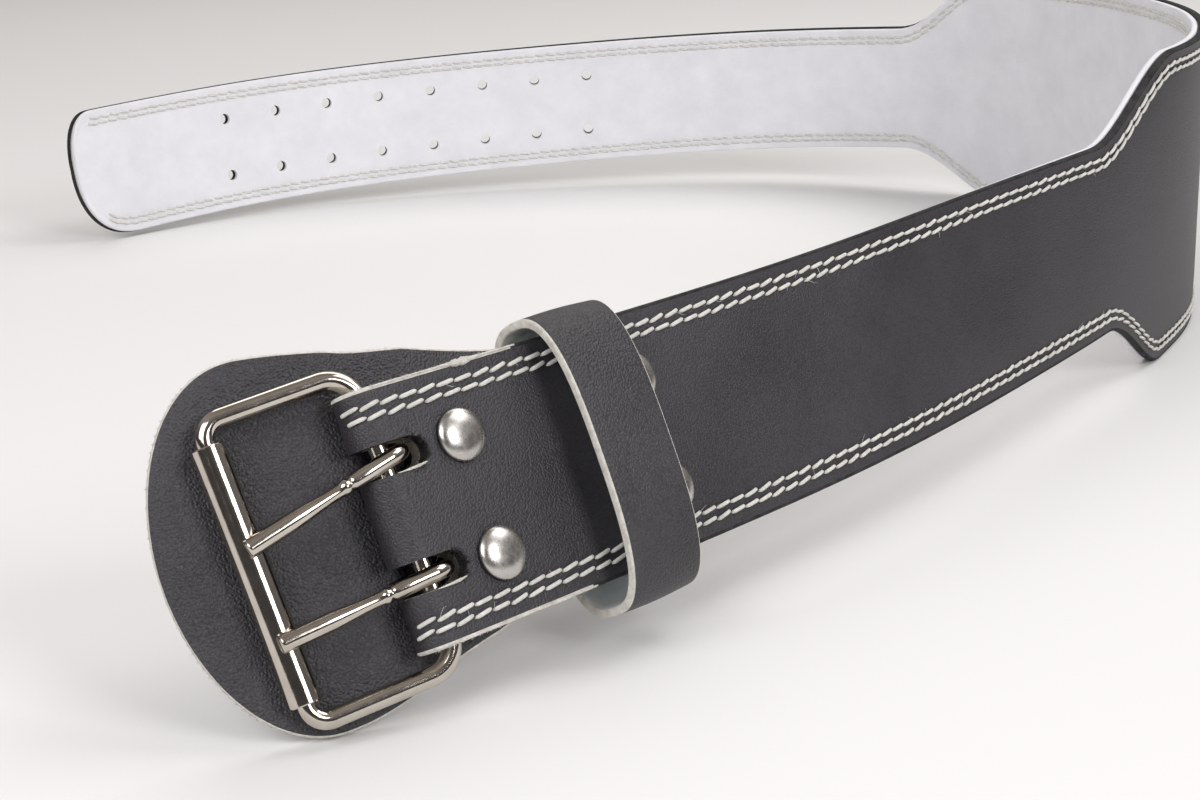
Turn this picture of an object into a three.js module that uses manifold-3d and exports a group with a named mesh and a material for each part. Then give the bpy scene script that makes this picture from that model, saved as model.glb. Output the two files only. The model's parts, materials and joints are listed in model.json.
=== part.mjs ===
// Weightlifting belt: black leather outside, pale suede inside, with a double-prong roller buckle.
// Millimetres, +Z up. The belt stands on its edge as an open loop. The origin is on the surface
// under the middle of the belt, and the buckle arm runs along +X.

import * as THREE from "three";
import { mergeVertices } from "three/addons/utils/BufferGeometryUtils.js";
import Module from "manifold-3d";

const wasm = await Module();
wasm.setup();

// Driving sizes of the strap
const strapWidth = 57.15;
const backWidth = 101.6;
const leatherThickness = 3.0;
const liningThickness = 2.0;
const gap = 0.3;
const frontArmLength = 285;
const curveLength = 52;
const backLength = 271;
const freeEndLength = 413;
const turnBackLength = 92;
const tipUpperRound = 13;
const tipLowerRound = 28;
const tipRoundness = 2.4;
const tipMiddle = 4;

// The last ring of a round end stops just short of it, where it would close to a point.
const endShare = 0.998;

// Holes, prongs and rivets
const prongSpacing = 26;
const holeDiameter = 4.8;
const holeStep = 25.4;
const holeCount = 8;
const firstHoleFromTip = 78;
const rivetSpacing = 26.8;
const rivetDrop = 0.6;
const frontRivetPlace = 23.5;
const rearRivetPlace = 76;
const rivetCapRadius = 6;
const rivetCapHeight = 2.4;
const rivetBackRadius = 3.2;
const rivetBackHeight = 1.2;
const rivetBackGap = 0.5;
const rivetShankRadius = 1.6;

// Buckle
const wireRadius = 2.15;
const barPlace = 7.2;
const barClearance = 0.95;
const frameLength = 33.6;
const frameHalfWidth = 33.2;
const barCornerRadius = 7;
const rollerCornerRadius = 4.5;
const rollerRadius = 3.75;
const rollerWall = 1.2;
const rollerSeam = 0.5;
const frameTilt = 20;
const frameTwist = 2.4;
const prongWireRadius = 1.9;
const prongWaistRadius = 1.45;
const prongWaistPlace = 14;
const prongTipRadius = 2.05;
const prongTipLength = 10.5;
const prongOverhang = 1.6;
const prongLoopClearance = 0.3;
const prongBumpPlace = 9;
const prongLoopSag = 1.2;
const slotWidth = 7.4;
const slotLength = 15.5;
const slotDrop = 0.4;

// Guard flap
const flapWidth = 83;
const flapThickness = 2.6;
const flapShift = 3;
const flapEndLength = 27;
const flapReach = 40;
const flapNeckPlace = 32;
const flapInnerEnd = 95;
const flapTilt = 18;
const flapTurnRadius = 22;
const flapLift = 0.25;

// Keeper
const keeperPlace = 49;
const keeperWidth = 23.5;
const keeperThickness = 2;
const keeperHeight = 70;
const keeperDepth = 29.5;
const keeperNarrowing = 2.5;
const keeperDrop = 1.5;
const keeperBack = 2.7;
const keeperRoundness = 2.8;
const keeperSides = 48;

// How the strap's heading and lean change along its length, as shares of the length.
// heading is in degrees from +X, and lean tips the top edge toward the inside of the loop.
const bends = [
  { along: 0, heading: -1.2, lean: 26.3 },
  { along: 0.0625, heading: 0.1, lean: 25.4 },
  { along: 0.125, heading: 2.1, lean: 24.4 },
  { along: 0.1875, heading: 4.7, lean: 18 },
  { along: 0.25, heading: 5.8, lean: 9 },
  { along: 0.3125, heading: 13, lean: 0 },
  { along: 0.375, heading: 30.4, lean: 0 },
  { along: 0.4375, heading: 47.6, lean: 0 },
  { along: 0.5, heading: 62.4, lean: 3 },
  { along: 0.5625, heading: 80, lean: 7 },
  { along: 0.625, heading: 102.5, lean: 8.5 },
  { along: 0.6875, heading: 121.9, lean: 5.5 },
  { along: 0.75, heading: 135, lean: 2 },
  { along: 0.8125, heading: 143.9, lean: -1 },
  { along: 0.875, heading: 156.1, lean: -4 },
  { along: 0.9375, heading: 172.5, lean: -7 },
  { along: 1, heading: 183, lean: -9.2 },
];

// Sizes that follow from the driving sizes
const beltLength = frontArmLength + curveLength * 2 + backLength + freeEndLength;
const stackThickness = leatherThickness + gap + liningThickness;
const foldRadius = leatherThickness + wireRadius + barClearance;
const barDepth = foldRadius;
const prongLoopRadius = wireRadius + prongLoopClearance + prongWireRadius;
const turnBackDepth = leatherThickness + gap;
const flapDepth = turnBackDepth + leatherThickness + gap;
const foldBlendStart = foldRadius * 1.25;
const foldBlendEnd = foldRadius * 3.5;
const halfStrap = strapWidth / 2;
const degrees = Math.PI / 180;

function smoothstep(x) {
  const t = Math.min(1, Math.max(0, x));
  return t * t * (3 - 2 * t);
}

function mix(a, b, t) {
  return a + (b - a) * t;
}

// Smooth curve through the rows of a table, with the slope at each row taken from its neighbours.
function tableValue(rows, key, x) {
  const last = rows.length - 1;
  let i = 0;
  while (i < last - 1 && x > rows[i + 1].along) i += 1;
  const slopeAt = (k) => {
    const a = rows[Math.max(0, k - 1)];
    const b = rows[Math.min(last, k + 1)];
    return (b[key] - a[key]) / (b.along - a.along);
  };
  const from = rows[i];
  const to = rows[i + 1];
  const span = to.along - from.along;
  const t = (x - from.along) / span;
  const t2 = t * t;
  const t3 = t2 * t;
  const start = (2 * t3 - 3 * t2 + 1) * from[key] + (t3 - 2 * t2 + t) * span * slopeAt(i);
  const end = (3 * t2 - 2 * t3) * to[key] + (t3 - t2) * span * slopeAt(i + 1);
  return start + end;
}

// Width of the strap: narrow, S-curve, full width, S-curve, narrow.
function widthAt(s) {
  const opening = smoothstep((s - frontArmLength) / curveLength);
  const closing = smoothstep((beltLength - freeEndLength - s) / curveLength);
  return mix(strapWidth, backWidth, Math.min(opening, closing));
}

// The plan of the outer face is worked out once by walking along the table's headings.
const planSteps = 1200;
const plan = [{ x: 0, y: 0 }];
for (let i = 0; i < planSteps; i += 1) {
  const heading = tableValue(bends, "heading", (i + 0.5) / planSteps) * degrees;
  const step = beltLength / planSteps;
  const last = plan[i];
  plan.push({ x: last.x + Math.cos(heading) * step, y: last.y + Math.sin(heading) * step });
}

// The buckle arm's middle line is as high as lets the flap's lower edge rest on the surface.
const frontLean = bends[0].lean * degrees;
const frontHeight = -Math.min(...flapPath().map((point) => {
  const [low] = flapEdges(point.s, point);
  return low * Math.cos(frontLean) - (point.depth + flapThickness / 2) * Math.sin(frontLean);
}));
const tipHeight = halfStrap * Math.cos(bends[bends.length - 1].lean * degrees) + gap;

function middleHeight(s, lean) {
  const fullHeight = (backWidth / 2) * Math.cos(lean) + stackThickness * Math.sin(Math.max(0, lean));
  const rise = s / (frontArmLength + curveLength);
  const fall = (s - (beltLength - freeEndLength - curveLength)) / (freeEndLength + curveLength);
  if (rise < 1) return mix(frontHeight, fullHeight, rise);
  if (fall > 0) return mix(fullHeight, tipHeight, Math.min(1, fall));
  return fullHeight;
}

// Local frame of the strap at a distance s from the fold: along, up the strap, and outward.
function strapFrame(s) {
  const inside = Math.min(beltLength, Math.max(0, s));
  const beyond = s - inside;
  const share = inside / beltLength;
  const heading = tableValue(bends, "heading", share) * degrees;
  const lean = tableValue(bends, "lean", share) * degrees;
  const place = share * planSteps;
  const i = Math.min(planSteps - 1, Math.floor(place));
  const along = new THREE.Vector3(Math.cos(heading), Math.sin(heading), 0);
  const inward = new THREE.Vector3(-Math.sin(heading), Math.cos(heading), 0);
  const up = new THREE.Vector3(0, 0, Math.cos(lean)).addScaledVector(inward, Math.sin(lean));
  const outward = new THREE.Vector3().crossVectors(along, up);
  const origin = new THREE.Vector3(
    mix(plan[i].x, plan[i + 1].x, place - i),
    mix(plan[i].y, plan[i + 1].y, place - i),
    middleHeight(inside, lean),
  ).addScaledVector(along, beyond);
  return { origin, along, up, outward };
}

// A point at s along the strap, v above its middle line and depth behind its outer face.
function strapPoint(s, v, depth) {
  const frame = strapFrame(s);
  return frame.origin.clone().addScaledVector(frame.up, v).addScaledVector(frame.outward, -depth);
}

// Closed body from rings of points; each ring has the same number of points.
// loopAround joins the last ring to the first, otherwise both ends are capped.
// evenTwist splits the two faces of a twisted sheet along the same diagonal.
function ringBody(rings, loopAround, evenTwist = false) {
  const count = rings[0].length;
  const positions = [];
  const index = [];
  for (const ring of rings) {
    for (const p of ring) positions.push(p.x, p.y, p.z);
  }
  const spans = loopAround ? rings.length : rings.length - 1;
  for (let r = 0; r < spans; r += 1) {
    const here = r * count;
    const next = ((r + 1) % rings.length) * count;
    for (let k = 0; k < count; k += 1) {
      const m = (k + 1) % count;
      if (evenTwist && k * 2 >= count) {
        index.push(here + k, here + m, next + k);
        index.push(here + m, next + m, next + k);
      } else {
        index.push(here + k, here + m, next + m);
        index.push(here + k, next + m, next + k);
      }
    }
  }
  if (!loopAround) {
    const end = (rings.length - 1) * count;
    for (let k = 1; k < count - 1; k += 1) {
      index.push(0, k + 1, k);
      index.push(end, end + k, end + k + 1);
    }
  }
  const geometry = new THREE.BufferGeometry();
  geometry.setAttribute("position", new THREE.Float32BufferAttribute(positions, 3));
  geometry.setIndex(index);
  return geometry;
}

// Conversions between a geometry and a solid that can be cut.
function toSolid(geometry) {
  const bare = geometry.clone();
  bare.deleteAttribute("normal");
  bare.deleteAttribute("uv");
  const merged = mergeVertices(bare, 1e-4);
  const vertProperties = new Float32Array(merged.attributes.position.array);
  const triVerts = new Uint32Array(merged.index.array);
  const mesh = new wasm.Mesh({ numProp: 3, vertProperties, triVerts });
  mesh.merge();
  return new wasm.Manifold(mesh);
}

function toGeometry(solid) {
  const mesh = solid.getMesh();
  const geometry = new THREE.BufferGeometry();
  geometry.setAttribute("position", new THREE.BufferAttribute(new Float32Array(mesh.vertProperties), 3));
  geometry.setIndex(new THREE.BufferAttribute(new Uint32Array(mesh.triVerts), 1));
  return geometry;
}

function cutAll(geometry, cutters) {
  let solid = toSolid(geometry);
  for (const cutter of cutters) solid = solid.subtract(toSolid(cutter));
  return toGeometry(solid);
}

// Places a geometry made round its own Y axis so that +Y points outward from the strap.
function onStrap(geometry, s, v, depth) {
  const frame = strapFrame(s);
  const basis = new THREE.Matrix4().makeBasis(frame.along, frame.outward, frame.up.clone().negate());
  basis.setPosition(strapPoint(s, v, depth));
  return geometry.clone().applyMatrix4(basis);
}

function holeCutter(s, v, radius) {
  const reach = foldRadius * 4;
  return onStrap(new THREE.CylinderGeometry(radius, radius, reach, 10), s, v, stackThickness / 2);
}

// Leather sheets

// A sheet that follows a path of places and depths, with its edges given at each place.
function sheetBody(path, thickness, edgesAt) {
  const rings = path.map((point, i) => {
    const before = path[Math.max(0, i - 1)];
    const after = path[Math.min(path.length - 1, i + 1)];
    const length = Math.hypot(after.s - before.s, after.depth - before.depth);
    const sideS = -(after.depth - before.depth) / length * thickness / 2;
    const sideDepth = (after.s - before.s) / length * thickness / 2;
    const [low, high] = edgesAt(point.s, point);
    return [
      strapPoint(point.s - sideS, low, point.depth - sideDepth),
      strapPoint(point.s + sideS, low, point.depth + sideDepth),
      strapPoint(point.s + sideS, high, point.depth + sideDepth),
      strapPoint(point.s - sideS, high, point.depth - sideDepth),
    ];
  });
  return ringBody(rings, false, true);
}

function places(from, to, step) {
  const count = Math.max(1, Math.ceil(Math.abs(to - from) / step));
  return Array.from({ length: count + 1 }, (_, i) => mix(from, to, i / count));
}

// Rounded tip: the upper and lower corners are parts of two ovals of different length.
function tipShare(s, round) {
  const x = Math.min(1, Math.max(0, 1 - (beltLength - s) / round));
  return (1 - x ** tipRoundness) ** (1 / tipRoundness);
}

function strapEdges(s, inset) {
  const half = widthAt(Math.max(0, s)) / 2 - inset;
  const high = tipMiddle + (half - tipMiddle) * tipShare(s + inset, tipUpperRound);
  const low = tipMiddle - (half + tipMiddle) * tipShare(s + inset, tipLowerRound);
  return [low, high];
}

// Places along the strap: close together in the S-curves and at the rounded tip.
function strapPlaces(start) {
  const backStart = frontArmLength + curveLength;
  const backEnd = backStart + backLength;
  const tipStart = beltLength - tipLowerRound;
  const tip = places(0, Math.PI / 2, Math.PI / 16)
    .map((a) => tipStart + tipLowerRound * Math.sin(a) * endShare);
  return [
    ...places(start, frontArmLength, 13),
    ...places(frontArmLength, backStart, 5).slice(1),
    ...places(backStart, backEnd, 11).slice(1),
    ...places(backEnd, backEnd + curveLength, 5).slice(1),
    ...places(backEnd + curveLength, tipStart, 11).slice(1),
    ...tip.slice(1),
  ];
}

// Depth of the turned-back leather's middle: round the bar, then down against the strap.
function turnBackMiddle(s) {
  const wide = foldRadius * 2 - leatherThickness / 2;
  const flat = turnBackDepth + leatherThickness / 2;
  const t = smoothstep((s - foldBlendStart) / (foldBlendEnd - foldBlendStart));
  return mix(wide, flat, t);
}

function turnBackPath() {
  return [...places(foldRadius, foldBlendStart, 3), ...places(foldBlendStart, foldBlendEnd, 1.6).slice(1),
    ...places(foldBlendEnd, turnBackLength, 14).slice(1)]
    .map((s) => ({ s, depth: turnBackMiddle(s) }));
}

function holePlaces() {
  return Array.from({ length: holeCount }, (_, i) => beltLength - firstHoleFromTip - i * holeStep);
}

function holeCutters() {
  const rows = [1, -1].map((side) => side * prongSpacing / 2);
  return holePlaces().flatMap((s) => rows.map((v) => holeCutter(s, v, holeDiameter / 2)));
}

function rivetCutters() {
  const radius = rivetShankRadius + gap * 1.4;
  return [frontRivetPlace, rearRivetPlace].flatMap((s) =>
    [1, -1].map((side) => holeCutter(s, side * rivetSpacing / 2 - rivetDrop, radius)));
}

// Box cut through both layers of the fold, with a round inner end.
function slotCutter(v) {
  const length = slotLength + foldRadius;
  const depth = foldRadius * 2 + gap * 2 + leatherThickness;
  const radius = slotWidth / 2;
  const shape = new THREE.Shape();
  shape.moveTo(-length, -radius);
  shape.lineTo(-radius, -radius);
  shape.absarc(-radius, 0, radius, -Math.PI / 2, Math.PI / 2, false);
  shape.lineTo(-length, radius);
  shape.closePath();
  const slot = new THREE.ExtrudeGeometry(shape, { depth, bevelEnabled: false, curveSegments: 8 });
  slot.rotateX(-Math.PI / 2);
  slot.translate(0, -depth + leatherThickness / 2, 0);
  return onStrap(slot, slotLength, v, 0);
}

function beltStrapGeometry() {
  const middle = leatherThickness / 2;
  const outer = strapPlaces(foldRadius).reverse().map((s) => ({ s, depth: middle }));
  const arcRadius = foldRadius - middle;
  const arc = places(0, Math.PI, Math.PI / 10).slice(1, -1).map((a) => ({
    s: foldRadius - Math.sin(a) * arcRadius,
    depth: foldRadius - Math.cos(a) * arcRadius,
  }));
  const path = [...outer, ...arc, ...turnBackPath()];
  const body = sheetBody(path, leatherThickness, (s) => strapEdges(s, 0));
  const slots = [1, -1].map((side) => slotCutter(side * prongSpacing / 2 - (side > 0 ? slotDrop : 0)));
  return cutAll(body, [...holeCutters(), ...rivetCutters(), ...slots]);
}

function suedeLiningGeometry() {
  const depth = leatherThickness + gap + liningThickness / 2;
  const path = strapPlaces(turnBackLength + gap).reverse().map((s) => ({ s, depth }));
  const body = sheetBody(path, liningThickness, (s) => strapEdges(s, gap));
  return cutAll(body, holeCutters());
}

// Guard flap: flat against the turned-back leather, round the back of the fold, then off at an
// angle behind the buckle, with a wide round end.
function flapPath() {
  const offset = (leatherThickness + flapThickness) / 2 + gap;
  const flat = places(flapInnerEnd, foldBlendEnd + 2, 12).map((s) => ({
    s,
    depth: flapDepth + flapThickness / 2,
  }));
  const blend = places(foldBlendEnd, foldBlendStart, 1.6).map((s) => {
    const slope = (turnBackMiddle(s + 0.05) - turnBackMiddle(s - 0.05)) / 0.1;
    const length = Math.hypot(1, slope);
    const extra = offset + flapLift * smoothstep((foldBlendEnd - s) / (foldBlendEnd - foldBlendStart));
    return { s: s - slope / length * extra, depth: turnBackMiddle(s) + extra / length };
  });
  const last = blend[blend.length - 1];
  const turn = places(0, flapTilt * degrees, 5 * degrees).slice(1).map((a) => ({
    s: last.s - Math.sin(a) * flapTurnRadius,
    depth: last.depth + (1 - Math.cos(a)) * flapTurnRadius,
  }));
  const start = turn[turn.length - 1];
  const straight = (flapReach + start.s) / Math.cos(flapTilt * degrees);
  const oval = flapEndLength;
  const run = [
    ...places(0, straight - oval, 4).slice(1),
    ...places(0, Math.PI / 2, Math.PI / 22).slice(1)
      .map((a) => straight - oval + oval * Math.sin(a) * endShare),
  ];
  const end = run.map((length) => ({
    s: start.s - Math.cos(flapTilt * degrees) * length,
    depth: start.depth + Math.sin(flapTilt * degrees) * length,
    left: straight - length,
  }));
  return [...flat, ...blend, ...turn, ...end];
}

function flapEdges(s, point) {
  const fullHalf = flapWidth / 2;
  const widest = flapEndLength - flapReach;
  const t = smoothstep((flapNeckPlace - s) / (flapNeckPlace - widest));
  const shift = flapShift * t;
  let half = mix(halfStrap, fullHalf, t);
  if (point.left !== undefined && point.left < flapEndLength) {
    const x = 1 - point.left / flapEndLength;
    half = fullHalf * Math.sqrt(Math.max(0, 1 - x * x));
  }
  return [shift - half, shift + half];
}

function guardFlapGeometry() {
  const path = flapPath();
  const body = sheetBody(path, flapThickness, flapEdges);
  return cutAll(body, rivetCutters());
}

// Keeper: an oval leather loop round the strap and the flap. Its outer side slopes in a little
// toward the back of the belt, by keeperNarrowing over its width.
function keeperRing(t, inset) {
  const power = 2 / keeperRoundness;
  const height = keeperHeight - inset * 2;
  const depth = keeperDepth - keeperNarrowing * t - inset * 2;
  const middle = keeperBack + keeperNarrowing * t / 2;
  return Array.from({ length: keeperSides }, (_, k) => {
    const a = -(k / keeperSides) * Math.PI * 2;
    const c = Math.cos(a);
    const d = Math.sin(a);
    const v = Math.sign(c) * Math.abs(c) ** power * height / 2 - keeperDrop;
    const inward = Math.sign(d) * Math.abs(d) ** power * depth / 2 + middle;
    return strapPoint(keeperPlace + t * keeperWidth, v, inward);
  });
}

function keeperGeometry() {
  const steps = places(0, 1, 0.25);
  const outer = steps.map((t) => keeperRing(t, 0));
  const inner = steps.map((t) => keeperRing(t, keeperThickness));
  return ringBody([...outer, ...inner.reverse()], true);
}

// Rivets: domed cap outside, shank through every layer, low cap behind.
function rivetGeometry() {
  const back = flapDepth + flapThickness + rivetBackGap;
  const dome = (radius, height, base, direction) =>
    places(0, Math.PI / 2, Math.PI / 8).map((a) =>
      new THREE.Vector2(radius * Math.cos(a), base + direction * height * Math.sin(a)));
  const profile = [
    ...dome(rivetBackRadius, rivetBackHeight, -back, -1).reverse(),
    new THREE.Vector2(rivetShankRadius, -back),
    new THREE.Vector2(rivetShankRadius, gap),
    ...dome(rivetCapRadius, rivetCapHeight, gap, 1),
  ];
  profile[0].x = 0;
  profile[profile.length - 1].x = 0;
  return new THREE.LatheGeometry(profile, 16);
}

// Buckle, in its own frame: x along the strap with the bar at 0, y up the bar, z outward.

// Round wire along a list of points, with a radius for each point.
function wireBody(points, radii, sides, loopAround) {
  const count = points.length;
  let side = new THREE.Vector3(0, 0, 1);
  const rings = points.map((p, i) => {
    const before = loopAround ? points[(i - 1 + count) % count] : points[Math.max(0, i - 1)];
    const after = loopAround ? points[(i + 1) % count] : points[Math.min(count - 1, i + 1)];
    const along = after.clone().sub(before).normalize();
    side = side.clone().addScaledVector(along, -side.dot(along)).normalize();
    const other = new THREE.Vector3().crossVectors(along, side);
    return Array.from({ length: sides }, (_, k) => {
      const a = (k / sides) * Math.PI * 2;
      return p.clone()
        .addScaledVector(side, Math.cos(a) * radii[i])
        .addScaledVector(other, Math.sin(a) * radii[i]);
    });
  });
  return ringBody(rings, loopAround);
}

function cornerArc(x, y, radius, from, to) {
  return places(from, to, 15 * degrees).map((a) =>
    new THREE.Vector3(x + radius * Math.cos(a), y + radius * Math.sin(a), 0));
}

function buckleFrameGeometry() {
  const right = -barCornerRadius;
  const left = -frameLength + rollerCornerRadius;
  const barTop = frameHalfWidth - barCornerRadius;
  const rollerTop = frameHalfWidth - rollerCornerRadius;
  const quarter = Math.PI / 2;
  const points = [
    ...cornerArc(right, barTop, barCornerRadius, 0, quarter),
    ...cornerArc(left, rollerTop, rollerCornerRadius, quarter, quarter * 2),
    ...cornerArc(left, -rollerTop, rollerCornerRadius, quarter * 2, quarter * 3),
    ...cornerArc(right, -barTop, barCornerRadius, quarter * 3, quarter * 4),
  ];
  return wireBody(points, points.map(() => wireRadius), 12, true);
}

// Roller: a sheet rolled round the frame's front side, with a narrow seam facing the flap.
function buckleRollerGeometry() {
  const length = (frameHalfWidth - rollerCornerRadius - gap) * 2;
  const inner = rollerRadius - rollerWall;
  const seam = Math.asin(rollerSeam / 2 / rollerRadius);
  const from = -Math.PI / 2 + seam;
  const to = Math.PI * 1.5 - seam;
  const shape = new THREE.Shape();
  shape.absarc(0, 0, rollerRadius, from, to, false);
  shape.absarc(0, 0, inner, to, from, true);
  shape.closePath();
  const tube = new THREE.ExtrudeGeometry(shape, { depth: length, bevelEnabled: false, curveSegments: 24 });
  tube.translate(0, 0, -length / 2);
  tube.rotateX(-Math.PI / 2);
  tube.rotateY(Math.PI);
  tube.translate(-frameLength, 0, 0);
  return tube;
}

// Prong: a wire loop round the bar, closed against its own shank. The straight shank has a slim
// waist and a thicker end that rests on the roller. The prong's skew turns it a little round z.
function prongGeometry(skew) {
  const loop = prongLoopRadius;
  const rest = rollerRadius + gap + prongTipRadius;
  const tip = frameLength + prongOverhang;
  const touch = prongWireRadius * 2 + gap;
  const slimStart = prongBumpPlace / 2;
  const shankRadius = (x) => {
    const slim = smoothstep((x - slimStart) / (prongWaistPlace - slimStart));
    const wide = smoothstep((x - prongWaistPlace) / (tip - prongTipLength - prongWaistPlace));
    return mix(mix(prongWireRadius, prongWaistRadius, slim), prongTipRadius, wide);
  };
  const closing = new THREE.CubicBezierCurve3(
    new THREE.Vector3(-prongBumpPlace, 0, loop - touch),
    new THREE.Vector3(-prongBumpPlace * 0.75, 0, loop - touch - prongLoopSag),
    new THREE.Vector3(-prongBumpPlace * 0.4, 0, -loop),
    new THREE.Vector3(0, 0, -loop),
  );
  const around = places(-Math.PI / 2, Math.PI / 2, Math.PI / 8).slice(1, -1).map((a) =>
    new THREE.Vector3(Math.cos(a) * loop, 0, Math.sin(a) * loop));
  const shank = places(0, 1, 0.125).map((t) =>
    new THREE.Vector3(-tip * t, 0, mix(loop, rest, t)));
  const points = [...closing.getPoints(6), ...around, ...shank];
  const shankStart = points.length - shank.length;
  const radii = points.map((p, i) => (i < shankStart ? prongWireRadius : shankRadius(-p.x)));
  const wire = wireBody(points, radii, 10, false);
  wire.rotateZ(skew);
  return wire;
}

// Materials
const leather = () => new THREE.MeshStandardMaterial({ color: 0x2a292b, roughness: 0.55, metalness: 0 });
const suede = () => new THREE.MeshStandardMaterial({ color: 0xd8d8e0, roughness: 0.95, metalness: 0 });
const nickel = () => new THREE.MeshStandardMaterial({ color: 0x8c8880, roughness: 0.18, metalness: 1 });

// Assembly
const belt = new THREE.Group();

function add(parent, name, geometry, material) {
  const mesh = new THREE.Mesh(geometry, material);
  mesh.name = name;
  parent.add(mesh);
  return mesh;
}

add(belt, "belt_strap", beltStrapGeometry(), leather());
add(belt, "suede_lining", suedeLiningGeometry(), suede());
add(belt, "guard_flap", guardFlapGeometry(), leather());
add(belt, "keeper", keeperGeometry(), leather());

const rivetRows = [
  { name: "rivet_front", place: frontRivetPlace },
  { name: "rivet_rear", place: rearRivetPlace },
];
for (const row of rivetRows) {
  for (const [side, sign] of [["upper", 1], ["lower", -1]]) {
    const rivet = onStrap(rivetGeometry(), row.place, sign * rivetSpacing / 2 - rivetDrop, 0);
    add(belt, `${row.name}_${side}`, rivet, nickel());
  }
}

const barFrame = strapFrame(barPlace);
const buckle = new THREE.Group();
const buckleBasis = new THREE.Matrix4().makeBasis(barFrame.along, barFrame.up, barFrame.outward);
buckleBasis.setPosition(strapPoint(barPlace, 0, barDepth));
buckle.applyMatrix4(buckleBasis);
const tilted = new THREE.Group();
tilted.rotation.order = "ZYX";
tilted.rotation.y = -frameTilt * degrees;
tilted.rotation.z = frameTwist * degrees;
buckle.add(tilted);
add(tilted, "buckle_frame", buckleFrameGeometry(), nickel());
add(tilted, "buckle_roller", buckleRollerGeometry(), nickel());

// Where each prong sits on the bar and on the roller, as shares of the prong spacing.
const prongRows = [
  { name: "prong_upper", root: 0.485, tip: 0.215 },
  { name: "prong_lower", root: -0.508, tip: -0.569 },
];
for (const row of prongRows) {
  const skew = Math.atan((row.root - row.tip) * prongSpacing / frameLength);
  const prong = add(tilted, row.name, prongGeometry(skew), nickel());
  prong.position.y = row.root * prongSpacing;
}
belt.add(buckle);

// The belt is moved so that the origin is under its middle.
const group = new THREE.Group();
group.add(belt);
belt.updateMatrixWorld(true);
const box = new THREE.Box3().setFromObject(belt, true);
const centre = box.getCenter(new THREE.Vector3());
belt.position.set(-centre.x, -centre.y, -box.min.z);

export default group;
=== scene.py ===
import bmesh
import bpy
import json
import math
import random
import numpy as np
from mathutils import Matrix, Vector


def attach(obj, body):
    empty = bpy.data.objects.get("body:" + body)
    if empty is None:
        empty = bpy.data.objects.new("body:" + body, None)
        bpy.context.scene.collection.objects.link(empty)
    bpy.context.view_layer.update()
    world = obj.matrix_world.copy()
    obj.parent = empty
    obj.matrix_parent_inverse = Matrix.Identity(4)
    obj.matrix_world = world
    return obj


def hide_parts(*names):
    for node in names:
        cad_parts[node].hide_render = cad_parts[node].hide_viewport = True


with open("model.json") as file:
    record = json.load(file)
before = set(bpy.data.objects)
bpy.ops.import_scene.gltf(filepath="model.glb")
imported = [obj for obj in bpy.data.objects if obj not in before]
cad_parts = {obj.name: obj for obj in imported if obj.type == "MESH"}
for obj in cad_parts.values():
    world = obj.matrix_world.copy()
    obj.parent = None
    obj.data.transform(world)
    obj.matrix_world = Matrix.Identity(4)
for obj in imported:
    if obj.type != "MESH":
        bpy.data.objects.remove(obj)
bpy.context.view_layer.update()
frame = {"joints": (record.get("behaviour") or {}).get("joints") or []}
dice = random.Random(11)
mm = 0.001
print("frame loaded")

# The belt as a strip: s runs along it from the fold at the buckle, v up across it,
# depth is how far behind the outer face a point lies. All in millimetres.
strap = {
    "narrow": 57.15,
    "wide": 101.6,
    "leather": 3.0,
    "suede": 2.0,
    "gap": 0.3,
    "frontArm": 285,
    "curve": 52,
    "back": 271,
    "freeEnd": 413,
    "turnBack": 92,
    "tipUpperRound": 13,
    "tipLowerRound": 28,
    "tipRoundness": 2.4,
    "tipMiddle": 4,
    "edgeRound": 0.9,
    "suedeRound": 0.6,
    "faceMargin": 0.02,  # points this near a face take its relief
    "stitchRows": (4.0, 6.4),
    "grooveDepth": 0.22,
    "grooveWidth": 0.7,
    "swell": 0.18,  # how much the leather rises between the stitch rows
    "swellStart": 6,
    "swellWidth": 9,
    "rawEdgeEnd": 46,
    "station": 3.2,
    "acrossCount": 7,
}
bends = [  # share of the length, heading in degrees, lean in degrees
    (0.0, -1.2, 26.3),
    (0.0625, 0.1, 25.4),
    (0.125, 2.1, 24.4),
    (0.1875, 4.7, 18),
    (0.25, 5.8, 9),
    (0.3125, 13, 0),
    (0.375, 30.4, 0),
    (0.4375, 47.6, 0),
    (0.5, 62.4, 3),
    (0.5625, 80, 7),
    (0.625, 102.5, 8.5),
    (0.6875, 121.9, 5.5),
    (0.75, 135, 2),
    (0.8125, 143.9, -1),
    (0.875, 156.1, -4),
    (0.9375, 172.5, -7),
    (1.0, 183, -9.2),
]
buckle = {
    "wireRadius": 2.15,
    "barPlace": 7.2,
    "barClearance": 0.95,
    "length": 33.6,
    "halfWidth": 33.2,
    "barCorner": 7,
    "rollerCorner": 4.5,
    "wireSides": 28,
}
rivets = {
    "frontPlace": 23.5,
    "rearPlace": 76,
    "spacing": 26.8,
    "drop": 0.6,
    "capRadius": 6,
    "capHeight": 2.4,
    "backRadius": 3.2,
    "backHeight": 1.2,
    "backGap": 0.5,
    "shankRadius": 1.6,
    "holeClearance": 0.4,
    "dimpleDepth": 0.3,
    "dimpleRadius": 8,
    "brimHeight": 0.25,
    "brimInset": 0.5,
    "brimSink": 0.1,
    "domeRoundness": 0.9,
    "poleRadius": 0.01,  # the domes end in a tiny ring, so every section has the same points
    "backPoleAngle": 0.15,
    "capPoleAngle": 0.12,
    "sides": 56,
}
holes = {"spacing": 26, "diameter": 4.8, "step": 25.4, "count": 8, "fromTip": 78, "sides": 20, "reach": 26}
slots = {"width": 7.0, "length": 14.2, "drop": 0.4, "reach": 1.5}
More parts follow.
